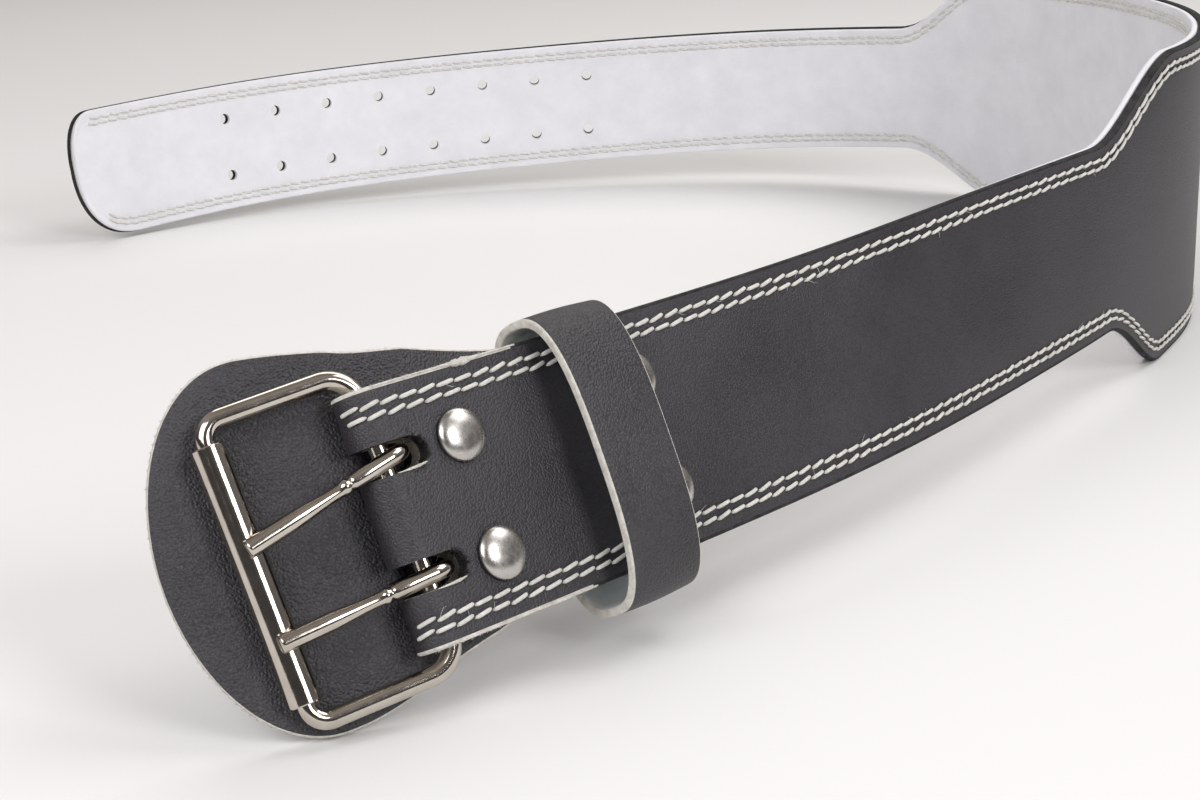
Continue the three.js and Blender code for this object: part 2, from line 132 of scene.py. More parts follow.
flap = {
    "width": 83,
    "thickness": 2.6,
    "shift": 3,
    "endLength": 27,
    "reach": 40,
    "neckPlace": 32,
    "upperNeckPlace": 50,
    "upperShift": 2.3,
    "innerEnd": 95,
    "tilt": 18,
    "turnRadius": 22,
    "lift": 0.25,
    "edgeRound": 0.45,
    "acrossCount": 21,
}

beltLength = strap["frontArm"] + strap["curve"] * 2 + strap["back"] + strap["freeEnd"]
foldRadius = strap["leather"] + buckle["wireRadius"] + buckle["barClearance"]
turnBackDepth = strap["leather"] + strap["gap"]
flapDepth = turnBackDepth + strap["leather"] + strap["gap"]
blendStart = foldRadius * 1.25
blendEnd = foldRadius * 3.5
halfNarrow = strap["narrow"] / 2
endShare = 0.998  # round ends stop just short of closing to a point


def smoothstep(x):
    t = np.clip(x, 0, 1)
    return t * t * (3 - 2 * t)


def mix(a, b, t):
    return a + (b - a) * t


def bendAt(column, share):
    # smooth curve through the rows, with each row's slope taken from its neighbours
    rows = np.array(bends, float)
    x, y = rows[:, 0], rows[:, column]
    slope = np.empty(len(x))
    slope[1:-1] = (y[2:] - y[:-2]) / (x[2:] - x[:-2])
    slope[0] = (y[1] - y[0]) / (x[1] - x[0])
    slope[-1] = (y[-1] - y[-2]) / (x[-1] - x[-2])
    share = np.asarray(share, float)
    i = np.clip(np.searchsorted(x, share) - 1, 0, len(x) - 2)
    span = x[i + 1] - x[i]
    t = (share - x[i]) / span
    a = (2 * t**3 - 3 * t**2 + 1) * y[i] + (t**3 - 2 * t**2 + t) * span * slope[i]
    b = (3 * t**2 - 2 * t**3) * y[i + 1] + (t**3 - t**2) * span * slope[i + 1]
    return a + b


planSteps = 1200
planHeadings = np.radians(bendAt(1, (np.arange(planSteps) + 0.5) / planSteps))
planStep = beltLength / planSteps
planX = np.concatenate([[0], np.cumsum(np.cos(planHeadings) * planStep)])
planY = np.concatenate([[0], np.cumsum(np.sin(planHeadings) * planStep)])


def widthAt(s):
    opening = smoothstep((s - strap["frontArm"]) / strap["curve"])
    closing = smoothstep((beltLength - strap["freeEnd"] - s) / strap["curve"])
    return mix(strap["narrow"], strap["wide"], np.minimum(opening, closing))


def turnBackMiddle(s):
    wide = foldRadius * 2 - strap["leather"] / 2
    flat = turnBackDepth + strap["leather"] / 2
    return mix(wide, flat, smoothstep((s - blendStart) / (blendEnd - blendStart)))


def places(start, end, step):
    return np.linspace(start, end, max(1, math.ceil(abs(end - start) / step)) + 1)


def flapLine():
    # s, depth and the length left to the round end, along the middle of the flap's thickness
    offset = (strap["leather"] + flap["thickness"]) / 2 + strap["gap"]
    rows = [(s, flapDepth + flap["thickness"] / 2, 999) for s in places(flap["innerEnd"], blendEnd + 2, 3)]
    for s in places(blendEnd, blendStart, 0.8):
        slope = (turnBackMiddle(s + 0.05) - turnBackMiddle(s - 0.05)) / 0.1
        length = math.hypot(1, slope)
        extra = offset + flap["lift"] * smoothstep((blendEnd - s) / (blendEnd - blendStart))
        rows.append((s - slope / length * extra, turnBackMiddle(s) + extra / length, 999))
    tilt = math.radians(flap["tilt"])
    s0, d0, _ = rows[-1]
    for a in places(0, tilt, math.radians(2))[1:]:
        rows.append((s0 - math.sin(a) * flap["turnRadius"], d0 + (1 - math.cos(a)) * flap["turnRadius"], 999))
    s1, d1, _ = rows[-1]
    straight = (flap["reach"] + s1) / math.cos(tilt)
    oval = flap["endLength"]
    run = list(places(0, straight - oval, 2)[1:])
    run += [straight - oval + oval * math.sin(a) * endShare for a in places(0, math.pi / 2, math.pi / 60)[1:]]
    for r in run:
        rows.append((s1 - math.cos(tilt) * r, d1 + math.sin(tilt) * r, straight - r))
    return np.array(rows, float)


def flapEdges(s, left):
    full = flap["width"] / 2
    widest = flap["endLength"] - flap["reach"]
    t = smoothstep((flap["neckPlace"] - s) / (flap["neckPlace"] - widest))
    half, shift = mix(halfNarrow, full, t), flap["shift"] * t
    share = np.clip((flap["upperNeckPlace"] - s) / (flap["upperNeckPlace"] - widest), 0, 1)
    high = mix(halfNarrow, full + flap["upperShift"], (share + smoothstep(share)) / 2)
    x = np.clip(1 - left / flap["endLength"], 0, 1)
    oval = full * np.sqrt(1 - x * x)
    inEnd = left < flap["endLength"]
    return shift - np.where(inEnd, oval, half), np.where(inEnd, oval + flap["upperShift"], high)


frontLean = math.radians(bends[0][2])
flapRows = flapLine()
flapLow = flapEdges(flapRows[:, 0], flapRows[:, 2])[0]
flapBackDepth = flapRows[:, 1] + flap["thickness"] / 2
frontHeight = -np.min(flapLow * math.cos(frontLean) - flapBackDepth * math.sin(frontLean))
tipHeight = halfNarrow * math.cos(math.radians(bends[-1][2])) + strap["gap"]
stack = strap["leather"] + strap["gap"] + strap["suede"]


def middleHeight(s, lean):
    full = strap["wide"] / 2 * np.cos(lean) + stack * np.sin(np.maximum(0, lean))
    rise = s / (strap["frontArm"] + strap["curve"])
    fall = (s - (beltLength - strap["freeEnd"] - strap["curve"])) / (strap["freeEnd"] + strap["curve"])
    height = np.where(rise < 1, mix(frontHeight, full, rise), full)
    return np.where(fall > 0, mix(full, tipHeight, np.minimum(1, fall)), height)


def strapFrame(s):
    s = np.asarray(s, float)
    inside = np.clip(s, 0, beltLength)
    beyond = (s - inside)[..., None]
    share = inside / beltLength
    heading = np.radians(bendAt(1, share))
    lean = np.radians(bendAt(2, share))
    step = np.arange(planSteps + 1)
    x = np.interp(share * planSteps, step, planX)
    y = np.interp(share * planSteps, step, planY)
    zero = np.zeros_like(heading)
    along = np.stack([np.cos(heading), np.sin(heading), zero], -1)
    inward = np.stack([-np.sin(heading), np.cos(heading), zero], -1)
    up = inward * np.sin(lean)[..., None]
    up[..., 2] += np.cos(lean)
    outward = np.cross(along, up)
    origin = np.stack([x, y, middleHeight(inside, lean)], -1) + along * beyond
    return origin, along, up, outward


def rawPoint(s, v, depth):
    s, v, depth = np.broadcast_arrays(np.asarray(s, float), v, depth)
    origin, _, up, outward = strapFrame(s)
    return origin + up * v[..., None] - outward * depth[..., None]


# the swing joint sits on the buckle's bar, which ties the strip to the frame
joints = {j["name"]: j for j in frame["joints"]}
barPoint = np.array(joints["frame_swing"]["pos_m"]) / mm
rollerPoint = np.array(joints["roller_spin"]["pos_m"]) / mm
shiftToFrame = barPoint - rawPoint(buckle["barPlace"], 0, foldRadius)
print("strip tied to the frame, shift", np.round(shiftToFrame, 2))


def strapPoint(s, v, depth):
    return rawPoint(s, v, depth) + shiftToFrame


# Materials

def newMaterial(name):
    material = bpy.data.materials.new(name)
    material.use_nodes = True
    nodes = material.node_tree.nodes
    return material, nodes, material.node_tree.links, nodes["Principled BSDF"]


def noiseNode(nodes, links, scale, detail=4, roughness=0.55):
    coords = nodes.new("ShaderNodeTexCoord")
    noise = nodes.new("ShaderNodeTexNoise")
    noise.inputs["Scale"].default_value = scale
    noise.inputs["Detail"].default_value = detail
    noise.inputs["Roughness"].default_value = roughness
    links.new(coords.outputs["Object"], noise.inputs["Vector"])
    return noise


def rampNode(nodes, links, source, stops):
    ramp = nodes.new("ShaderNodeValToRGB")
    while len(ramp.color_ramp.elements) < len(stops):
        ramp.color_ramp.elements.new(0.5)
    for element, (place, colour) in zip(ramp.color_ramp.elements, stops):
        element.position = place
        element.color = (*colour, 1)
    links.new(source, ramp.inputs["Fac"])
    return ramp


def bumpNode(nodes, links, height, strength, distance, before=None):
    bump = nodes.new("ShaderNodeBump")
    bump.inputs["Strength"].default_value = strength
    bump.inputs["Distance"].default_value = distance
    links.new(height, bump.inputs["Height"])
    if before:
        links.new(before.outputs["Normal"], bump.inputs["Normal"])
    return bump


grain = {
    "smoothness": 0.35,
    # painted shade: these stops darken the colour in the creases between the pebbles, so the pebble tops read
    # lighter as if lit
    "creaseShadeStops": [(0.35, (1, 1, 1)), (0.95, (0.55, 0.55, 0.55))],
    "creaseShadeShare": 0.8,
    "poreStrength": 0.25,
    "poreDepth": 0.0001,
}


def grainLeather(name, look):
    material, nodes, links, shader = newMaterial(name)
    wobble = noiseNode(nodes, links, look["wobbleScale"], 2)
    coords = nodes.new("ShaderNodeTexCoord")
    shifted = nodes.new("ShaderNodeMixRGB")
    shifted.blend_type = "LINEAR_LIGHT"
    shifted.inputs["Fac"].default_value = look["wobble"]
    links.new(coords.outputs["Object"], shifted.inputs[1])
    links.new(wobble.outputs["Color"], shifted.inputs[2])
    pebbles = nodes.new("ShaderNodeTexVoronoi")
    pebbles.feature = "SMOOTH_F1"
    pebbles.inputs["Scale"].default_value = look["grainScale"]
    pebbles.inputs["Smoothness"].default_value = grain["smoothness"]
    links.new(shifted.outputs["Color"], pebbles.inputs["Vector"])
    cloud = noiseNode(nodes, links, look["cloudScale"], 5)
    colour = rampNode(nodes, links, cloud.outputs["Fac"], [(0.3, look["dark"]), (0.7, look["light"])])
    # painted shade in the creases: the colour is darkened towards each pebble's edge and multiplied into the
    # leather's own tone
    creaseShade = rampNode(nodes, links, pebbles.outputs["Distance"], grain["creaseShadeStops"])
    toneWithCreaseShade = nodes.new("ShaderNodeMixRGB")
    toneWithCreaseShade.blend_type = "MULTIPLY"
    toneWithCreaseShade.inputs["Fac"].default_value = grain["creaseShadeShare"]
    links.new(colour.outputs["Color"], toneWithCreaseShade.inputs[1])
    links.new(creaseShade.outputs["Color"], toneWithCreaseShade.inputs[2])
    links.new(toneWithCreaseShade.outputs["Color"], shader.inputs["Base Color"])
    low, high = look["roughness"]
    gloss = nodes.new("ShaderNodeMapRange")
    gloss.inputs["To Min"].default_value = low
    gloss.inputs["To Max"].default_value = high
    links.new(cloud.outputs["Fac"], gloss.inputs["Value"])
    links.new(gloss.outputs["Result"], shader.inputs["Roughness"])
    invert = nodes.new("ShaderNodeMath")
    invert.operation = "SUBTRACT"
    invert.inputs[0].default_value = 1
    links.new(pebbles.outputs["Distance"], invert.inputs[1])
    coarse = bumpNode(nodes, links, invert.outputs["Value"], look["grainStrength"], look["grainDepth"])
    pores = noiseNode(nodes, links, look["poreScale"], 3)
    fine = bumpNode(nodes, links, pores.outputs["Fac"], grain["poreStrength"], grain["poreDepth"], coarse)
    links.new(fine.outputs["Normal"], shader.inputs["Normal"])
    shader.inputs["Specular IOR Level"].default_value = look["specular"]
    return material


nap = {"specular": 0.15, "sheenRoughness": 0.5, "detail": 4, "roughness": 0.7}


def softFibre(name, look):
    # suede, raw leather edges and thread: a mottled colour under a short nap
    material, nodes, links, shader = newMaterial(name)
    cloud = noiseNode(nodes, links, look["cloudScale"], 6, 0.65)
    colour = rampNode(nodes, links, cloud.outputs["Fac"], [(0.3, look["dark"]), (0.72, look["light"])])
    links.new(colour.outputs["Color"], shader.inputs["Base Color"])
    hairs = noiseNode(nodes, links, look["napScale"], nap["detail"], nap["roughness"])
    bump = bumpNode(nodes, links, hairs.outputs["Fac"], look["napStrength"], look["napDepth"])
    links.new(bump.outputs["Normal"], shader.inputs["Normal"])
    shader.inputs["Roughness"].default_value = look["roughness"]
    shader.inputs["Specular IOR Level"].default_value = nap["specular"]
    shader.inputs["Sheen Weight"].default_value = look["sheen"]
    shader.inputs["Sheen Roughness"].default_value = nap["sheenRoughness"]
    return material


polish = {"scuffFrom": 0.35, "scuffTo": 0.75, "bumpStrength": 0.06, "bumpDepth": 0.0002}


def polishedMetal(name, look):
    material, nodes, links, shader = newMaterial(name)
    haze = noiseNode(nodes, links, look["hazeScale"], 5)
    colour = rampNode(nodes, links, haze.outputs["Fac"], [(0.3, look["dark"]), (0.7, look["light"])])
    links.new(colour.outputs["Color"], shader.inputs["Base Color"])
    shader.inputs["Metallic"].default_value = 1
    scuffs = noiseNode(nodes, links, look["scuffScale"], 6, 0.7)
    low, high = look["roughness"]
    gloss = nodes.new("ShaderNodeMapRange")
    gloss.inputs["From Min"].default_value = polish["scuffFrom"]
    gloss.inputs["From Max"].default_value = polish["scuffTo"]
    gloss.inputs["To Min"].default_value = low
    gloss.inputs["To Max"].default_value = high
    links.new(scuffs.outputs["Fac"], gloss.inputs["Value"])
    links.new(gloss.outputs["Result"], shader.inputs["Roughness"])
    bump = bumpNode(nodes, links, scuffs.outputs["Fac"], polish["bumpStrength"], polish["bumpDepth"])
    links.new(bump.outputs["Normal"], shader.inputs["Normal"])
    return material


looks = {
    "strapLeather": {
        "grainScale": 1900, "grainStrength": 0.7, "grainDepth": 0.00022,
        "wobbleScale": 700, "wobble": 0.00008, "cloudScale": 26, "poreScale": 3000,
        "dark": (0.0225, 0.0205, 0.0245), "light": (0.042, 0.039, 0.0455),
        "roughness": (0.4, 0.54), "specular": 0.5,
    },
    "pebbleLeather": {
        "grainScale": 1650, "grainStrength": 0.9, "grainDepth": 0.00030,
        "wobbleScale": 650, "wobble": 0.0001, "cloudScale": 34, "poreScale": 2800,
        "dark": (0.024, 0.022, 0.0262), "light": (0.049, 0.0458, 0.0525),
        "roughness": (0.38, 0.52), "specular": 0.5,
    },
    "suede": {
        "cloudScale": 60, "napScale": 1900, "napStrength": 0.5, "napDepth": 0.0004,
        "roughness": 0.95, "sheen": 0.15,
        "dark": (0.73, 0.725, 0.76), "light": (0.82, 0.815, 0.85),
    },
    "greySuede": {
        "cloudScale": 140, "napScale": 1500, "napStrength": 0.7, "napDepth": 0.0005,
        "roughness": 0.95, "sheen": 0.2,
        "dark": (0.70, 0.76, 0.785), "light": (0.86, 0.90, 0.915),
    },
    "rawEdge": {
        "cloudScale": 500, "napScale": 2300, "napStrength": 0.9, "napDepth": 0.0006,
        "roughness": 1, "sheen": 0.2,
        "dark": (0.55, 0.515, 0.46), "light": (0.88, 0.855, 0.80),
    },
    "darkEdge": {
        "cloudScale": 300, "napScale": 1500, "napStrength": 0.6, "napDepth": 0.0003,
        "roughness": 0.75, "sheen": 0,
        "dark": (0.012, 0.012, 0.013), "light": (0.05, 0.048, 0.05),
    },
    "thread": {
        "cloudScale": 420, "napScale": 2200, "napStrength": 0.8, "napDepth": 0.0003,
        "roughness": 0.8, "sheen": 0.1,
        "dark": (0.56, 0.545, 0.51), "light": (0.80, 0.785, 0.745),
    },
    "nickel": {
        "hazeScale": 160, "scuffScale": 420, "roughness": (0.08, 0.16),
        "dark": (0.50, 0.45, 0.395), "light": (0.62, 0.575, 0.52),
    },
    "satinNickel": {
        "hazeScale": 260, "scuffScale": 700, "roughness": (0.24, 0.36),
        "dark": (0.46, 0.44, 0.415), "light": (0.57, 0.55, 0.525),
    },
}
strapLeather = grainLeather("black strap leather", looks["strapLeather"])
pebbleLeather = grainLeather("black pebbled leather", looks["pebbleLeather"])
suede = softFibre("pale suede", looks["suede"])
greySuede = softFibre("grey keeper suede", looks["greySuede"])
rawEdge = softFibre("raw leather edge", looks["rawEdge"])
darkEdge = softFibre("dyed leather edge", looks["darkEdge"])
threadFibre = softFibre("waxed thread", looks["thread"])
nickel = polishedMetal("dark nickel", looks["nickel"])
satinNickel = polishedMetal("satin nickel", looks["satinNickel"])
print("materials made")


# Mesh helpers

def makePiece(name, points, faces, materials, body, stands, faceMaterial=None, sharp=40):
    mesh = bpy.data.meshes.new(name)
    mesh.from_pydata((np.asarray(points) * mm).tolist(), [], faces)
    for material in materials:
        mesh.materials.append(material)
    if faceMaterial is not None:
        mesh.polygons.foreach_set("material_index", np.asarray(faceMaterial, np.int32))
    mesh.update()
    mesh.shade_smooth()
    mesh.set_sharp_from_angle(angle=math.radians(sharp))
    piece = bpy.data.objects.new(name, mesh)
    bpy.context.scene.collection.objects.link(piece)
    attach(piece, body)
    if stands:
        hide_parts(*stands)
    return piece


def loftFaces(ringCount, pointCount, ringsClosed=False):
    faces = []
    for r in range(ringCount if ringsClosed else ringCount - 1):
        here, after = r * pointCount, (r + 1) % ringCount * pointCount
        for k in range(pointCount):
            m = (k + 1) % pointCount
            faces.append((here + k, here + m, after + m, after + k))
    return faces


def sheetSection(low, high, thickness, edgeRound, across):
    # points round one section of a sheet, as v and offset to the grain side, and their part:
    # 0 grain side, 1 edge, 2 flesh side
    r = min(edgeRound, thickness / 2 - 0.05, (high - low) / 2 * 0.9)
    half = thickness / 2
    arc = [math.radians(a) for a in (0, 30, 60, 90)]
    width = [low + r + (high - low - 2 * r) * a for a in across]
    points = [(v, half) for v in width]
    points += [(high - r + r * math.sin(a), half - r + r * math.cos(a)) for a in arc[1:]]
    points += [(high - r + r * math.cos(a), -half + r - r * math.sin(a)) for a in arc]
    points += [(v, -half) for v in reversed(width)][1:]
    points += [(low + r - r * math.sin(a), -half + r - r * math.cos(a)) for a in arc[1:]]
    points += [(low + r - r * math.cos(a), half - r + r * math.sin(a)) for a in arc][:-1]
    return points


def sheetFaceParts(across):
    n = len(across)
    return [0] * (n - 1) + [1] * 7 + [2] * (n - 1) + [1] * 7


def sheetMesh(path, thickness, edges, across, edgeRound, relief=None, partMaterial=(0, 1, 2)):
    # path rows: s, depth, spare value for edges(). The grain side lies left of the path.
    points = []
    for i in range(len(path)):
        before, after = path[max(0, i - 1)], path[min(len(path) - 1, i + 1)]
        ds, dd = after[0] - before[0], after[1] - before[1]
        length = math.hypot(ds, dd)
        sideS, sideDepth = -dd / length, ds / length
        s, depth, spare = path[i]
        low, high = edges(s, spare)
        section = sheetSection(low, high, thickness, edgeRound, across)
        v = np.array([p[0] for p in section])
        off = np.array([p[1] for p in section])
        if relief:
            off = off + relief(s, v, off, low, high)
        points.append(strapPoint(s + sideS * off, v, depth + sideDepth * off))
    count = len(section)
    faces = loftFaces(len(path), count)
    parts = sheetFaceParts(across) * (len(path) - 1)
    faces.append(tuple(range(count - 1, -1, -1)))
    faces.append(tuple((len(path) - 1) * count + k for k in range(count)))
    parts += [1, 1]
    return np.concatenate(points), faces, [partMaterial[p] for p in parts]


spread = {"edgeShares": (0, 0.015, 0.03), "besideRow": 0.8, "innerStart": 0.03}


def edgeSpread(width, rows, count):
    # shares across the sheet, closer together at the stitch rows near both edges
    near, beside = list(spread["edgeShares"]), spread["besideRow"]
    for row in rows:
        near += [(row - beside) / width, row / width, (row + beside) / width]
    inner = np.linspace(near[-1] + spread["innerStart"], 0.5, count)
    shares = sorted(set(round(float(x), 5) for x in [*near, *inner]))
    return shares + [1 - x for x in reversed(shares) if x < 0.5]


def fixWinding(piece):
    work = bmesh.new()
    work.from_mesh(piece.data)
    bmesh.ops.recalc_face_normals(work, faces=work.faces)
    work.to_mesh(piece.data)
    work.free()


cutSharp = 35  # degrees between faces that stay a crisp edge after cutting


def cutHoles(piece, cutters, walls):
    # cutters: lists of points, faces and which wall material each has. All are taken out in one go.
    points, faces, wallOf = [], [], []
    for cutPoints, cutFaces, wall in cutters:
        base = len(points)
        points += list(np.asarray(cutPoints) * mm)
        faces += [tuple(base + k for k in f) for f in cutFaces]
        wallOf += wall if isinstance(wall, list) else [wall] * len(cutFaces)
    mesh = bpy.data.meshes.new("cutter")
    mesh.from_pydata([tuple(p) for p in points], [], faces)
    for wall in walls:
        mesh.materials.append(wall)
    mesh.polygons.foreach_set("material_index", wallOf)
    tool = bpy.data.objects.new("cutter", mesh)
    bpy.context.scene.collection.objects.link(tool)
    fixWinding(tool)
    cut = piece.modifiers.new("holes", "BOOLEAN")
    cut.operation = "DIFFERENCE"
    cut.solver = "EXACT"
    cut.material_mode = "TRANSFER"
    cut.object = tool
    graph = bpy.context.evaluated_depsgraph_get()
    result = bpy.data.meshes.new_from_object(piece.evaluated_get(graph))
    piece.modifiers.clear()
    piece.data = result
    bpy.data.objects.remove(tool)
    result.shade_smooth()
    result.set_sharp_from_angle(angle=math.radians(cutSharp))


def roundCutter(s, v, radius):
    reach, sides = holes["reach"], holes["sides"]
    _, along, up, outward = strapFrame(s)
    centre = strapPoint(s, v, stack / 2)
    rings = [centre + outward * h + (along * math.cos(a) + up * math.sin(a)) * radius
             for h in (-reach / 2, reach / 2) for a in np.linspace(0, math.tau, sides, False)]
    faces = [(k, (k + 1) % sides, sides + (k + 1) % sides, sides + k) for k in range(sides)]
    faces += [tuple(range(sides - 1, -1, -1)), tuple(range(sides, 2 * sides))]
    return rings, faces, 0


def rivetCutters():
    radius = rivets["shankRadius"] + rivets["holeClearance"]
    return [roundCutter(s, side * rivets["spacing"] / 2 - rivets["drop"], radius)
            for s in (rivets["frontPlace"], rivets["rearPlace"]) for side in (1, -1)]


def slotMiddle(side):
    return side * holes["spacing"] / 2 - (slots["drop"] if side > 0 else 0)


def slotCutter(v):
    radius = slots["width"] / 2
    reach = slots["length"] + foldRadius
    _, along, up, outward = strapFrame(slots["length"])
    start = strapPoint(slots["length"], v, 0)
    outline = [(-reach, -radius)]
    outline += [(-radius + radius * math.cos(a), radius * math.sin(a))
                for a in np.linspace(-math.pi / 2, math.pi / 2, 15)]
    outline += [(-reach, radius)]
    top, bottom = slots["reach"], foldRadius * 2 + strap["gap"] * 2 + slots["reach"]
    rings = [start + along * x + up * y + outward * h for h in (top, -bottom) for x, y in outline]
    n = len(outline)
    faces = [(k, (k + 1) % n, n + (k + 1) % n, n + k) for k in range(n)]
    faces += [tuple(range(n - 1, -1, -1)), tuple(range(n, 2 * n))]
    return rings, faces, [1] + [0] * (len(faces) - 1)


def sweepWire(points, radii, sides, closed):
    points = [np.asarray(p, float) for p in points]
    count = len(points)
    side = np.array([0.0, 0, 1])
    rings = []
    for i, p in enumerate(points):
        before = points[(i - 1) % count] if closed else points[max(0, i - 1)]
        after = points[(i + 1) % count] if closed else points[min(count - 1, i + 1)]
        along = (after - before) / np.linalg.norm(after - before)
        side = side - along * side.dot(along)
        side /= np.linalg.norm(side)
        other = np.cross(along, side)
        for k in range(sides):
            a = k / sides * math.tau
            rings.append(p + side * math.cos(a) * radii[i] + other * math.sin(a) * radii[i])
    faces = loftFaces(count, sides, closed)
    if not closed:
        faces.append(tuple(range(sides - 1, -1, -1)))
        faces.append(tuple((count - 1) * sides + k for k in range(sides)))
    return np.array(rings), faces


# Strap

def tipShare(s, roundLength):
    x = min(1, max(0, 1 - (beltLength - s) / roundLength))
    return (1 - x ** strap["tipRoundness"]) ** (1 / strap["tipRoundness"])


def strapEdges(s, inset=0):
    half = float(widthAt(max(0, s))) / 2 - inset
    middle = strap["tipMiddle"]
    high = middle + (half - middle) * tipShare(s + inset, strap["tipUpperRound"])
    low = middle - (half + middle) * tipShare(s + inset, strap["tipLowerRound"])
    return low, high


def strapStations(start):
    tipStart = beltLength - strap["tipLowerRound"]
    tip = [tipStart + strap["tipLowerRound"] * math.sin(a) * endShare
           for a in places(0, math.pi / 2, math.pi / 40)]
    return [*places(start, tipStart, strap["station"]), *tip[1:]]


def seamGrooves(v, low, high):
    fromEdge = np.minimum(v - low, high - v)
    return sum(np.exp(-((fromEdge - row) / strap["grooveWidth"]) ** 2) for row in strap["stitchRows"])


def seamRelief(s, v, off, low, high):
    # the stitch rows and the rivets pull the leather in, and it swells a little between them
    face = off > strap["leather"] / 2 - strap["faceMargin"]
    fromEdge = np.minimum(v - low, high - v)
    swell = strap["swell"] * smoothstep((fromEdge - strap["swellStart"]) / strap["swellWidth"])
    dimple = sum(np.exp(-((s - place) ** 2 + (v - sign * rivets["spacing"] / 2 + rivets["drop"]) ** 2)
                        / rivets["dimpleRadius"] ** 2)
                 for place in (rivets["frontPlace"], rivets["rearPlace"]) for sign in (1, -1))
    groove = strap["grooveDepth"] * seamGrooves(v, low, high)
    return np.where(face, -groove + swell - strap["swell"] - rivets["dimpleDepth"] * dimple, 0)


def strapPath():
    middle = strap["leather"] / 2
    rows = [(s, middle, 0) for s in reversed(strapStations(foldRadius))]
    arcRadius = foldRadius - middle
    for a in places(0, math.pi, math.pi / 20)[1:-1]:
        rows.append((foldRadius - math.sin(a) * arcRadius, foldRadius - math.cos(a) * arcRadius, 0))
    back = [*places(foldRadius, blendEnd, 1), *places(blendEnd, strap["turnBack"], 6)[1:]]
    rows += [(s, float(turnBackMiddle(s)), 0) for s in back]
    return rows


def holePlaces():
    return [beltLength - holes["fromTip"] - i * holes["step"] for i in range(holes["count"])]


def makeStrap():
    across = edgeSpread(strap["narrow"], strap["stitchRows"], strap["acrossCount"])
    path = strapPath()
    points, faces, parts = sheetMesh(path, strap["leather"], lambda s, _: strapEdges(s), across,
                                     strap["edgeRound"], seamRelief, (0, 1, 2))
    # the cut edge behind the buckle is left raw
    ringSize = len(sheetFaceParts(across))
    for i in range(len(path) - 1):
        if path[i][0] < strap["rawEdgeEnd"]:
            for k in range(ringSize):
                if parts[i * ringSize + k] == 1:
                    parts[i * ringSize + k] = 3
    piece = makePiece("outer_strap", points, faces, [strapLeather, darkEdge, darkEdge, rawEdge],
                      "belt", ["belt_strap"], parts)
    fixWinding(piece)
    cutters = [roundCutter(s, side * holes["spacing"] / 2, holes["diameter"] / 2)
               for s in holePlaces() for side in (1, -1)]
    cutters += rivetCutters()
    cutters += [slotCutter(slotMiddle(side)) for side in (1, -1)]
    cutHoles(piece, cutters, [darkEdge, rawEdge])


def liningRelief(s, v, off, low, high):
    inside = off < -strap["suede"] / 2 + strap["faceMargin"]
    return np.where(inside, strap["grooveDepth"] * seamGrooves(v, low, high), 0)


def makeLining():
    depth = strap["leather"] + strap["gap"] + strap["suede"] / 2
    rows = [(s, depth, 0) for s in reversed(strapStations(strap["turnBack"] + strap["gap"]))]
    across = edgeSpread(strap["narrow"], strap["stitchRows"], strap["acrossCount"])
    points, faces, parts = sheetMesh(rows, strap["suede"], lambda s, _: strapEdges(s, strap["gap"]), across,
                                     strap["suedeRound"], liningRelief, (0, 0, 0))
    piece = makePiece("suede_inner_face", points, faces, [suede], "belt", ["suede_lining"], parts)
    fixWinding(piece)
    cutHoles(piece, [roundCutter(s, side * holes["spacing"] / 2, holes["diameter"] / 2)
                     for s in holePlaces() for side in (1, -1)], [greySuede])


makeStrap()
makeLining()
print("strap and lining made")

# Stitching

stitch = {
    "pitch": 5.0,
    "pitchSpread": (0.97, 1.03),
    "length": 4.8,
    "radius": 0.5,
    "slant": 0.75,
    "slantSpread": (0.5, 1.4),
    "rowOffset": 1.1,  # the inner row starts this much later
    "sides": 7,
    "start": -3.2,
    "innerStart": 4,
    "tipStop": 7,
    # share of the length, thickness, height over the leather
    "bead": ((0, 0.45, -0.38), (0.12, 0.92, 0), (0.3, 1.0, 0.14), (0.5, 0.97, 0.18), (0.7, 1.0, 0.14),
             (0.88, 0.92, 0), (1, 0.45, -0.38)),
}


def outerFace(u, lift):
    # a point by its length along the outer face, which turns round the fold before u = foldRadius
    angle = max(0, (foldRadius - u) / foldRadius)
    if not angle:
        return u, -lift
    place = foldRadius * (1 - math.sin(angle)) - lift * math.sin(angle)
    depth = foldRadius * (1 - math.cos(angle)) - lift * math.cos(angle)
    return place, depth


def stitchMesh(name, side, start):
    # each stitch is a short bead of thread that dips into the leather at both ends
    points, faces = [], []
    for edge in (1, -1):
        for n, row in enumerate(strap["stitchRows"]):
            s = start + n * stitch["rowOffset"]
            while s + stitch["length"] < beltLength - stitch["tipStop"]:
                slant = stitch["slant"] * dice.uniform(*stitch["slantSpread"])
                base = len(points)
                line = []
                for share, _, lift in stitch["bead"]:
                    at = s + stitch["length"] * share
                    low, high = strapEdges(max(0, at))
                    v = (high - row if edge > 0 else low + row) + slant * (share - 0.5)
                    if side > 0:
                        place, depth = outerFace(at, lift)
                        line.append(strapPoint(place, v, depth))
                    else:
                        line.append(strapPoint(at, v, stack + lift))
                radii = [stitch["radius"] * swell for _, swell, _ in stitch["bead"]]
                ring, ringFaces = sweepWire(line, radii, stitch["sides"], False)
                points += list(ring)
                faces += [tuple(base + k for k in f) for f in ringFaces]
                s += stitch["pitch"] * dice.uniform(*stitch["pitchSpread"])
    makePiece(name, points, faces, [threadFibre], "belt", [], sharp=80)


stitchMesh("stitching_outer", 1, stitch["start"])
stitchMesh("stitching_inner", -1, strap["turnBack"] + stitch["innerStart"])
print("stitching made")

# Guard flap


